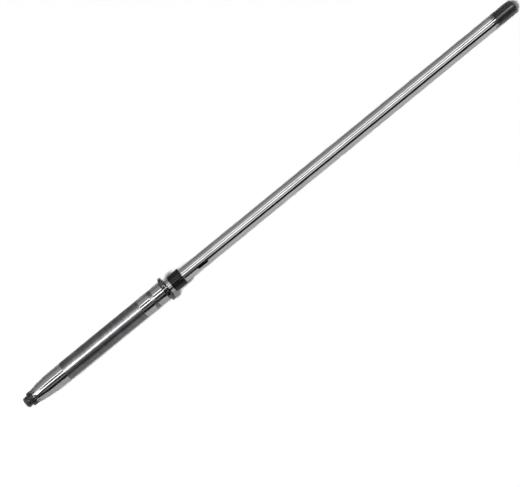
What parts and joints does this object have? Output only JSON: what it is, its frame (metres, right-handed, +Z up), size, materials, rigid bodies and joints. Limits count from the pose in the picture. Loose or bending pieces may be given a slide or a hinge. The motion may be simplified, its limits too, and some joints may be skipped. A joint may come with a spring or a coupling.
{
  "type": "torsion shaft",
  "caption": "Long stepped steel drive shaft with splined ends, ground bearing journals, a thrust flange, a pressed-on black seal sleeve and a half-moon key seat.",
  "frame": {"origin": "on the shaft's axis, in the middle of the relief band between the two rings of the upper bearing seat", "axes": "+X along the shaft, from the threaded lower end to the splined upper end; +Z up, with the shaft lying on its side; the key seat faces -Y, turned up by 30 degrees"},
  "size_m": [0.75, 0.032, 0.032],
  "materials": {
    "ground_steel": "ground on the journals and the long shaft, satin on the thick body, black oxide on both splines and the thread",
    "black_sleeve": "black oxide over fine turning lines"
  },
  "bodies": {
    "root": {"shaft": "ground_steel", "seal_sleeve": "black_sleeve"}
  },
  "joints": []
}
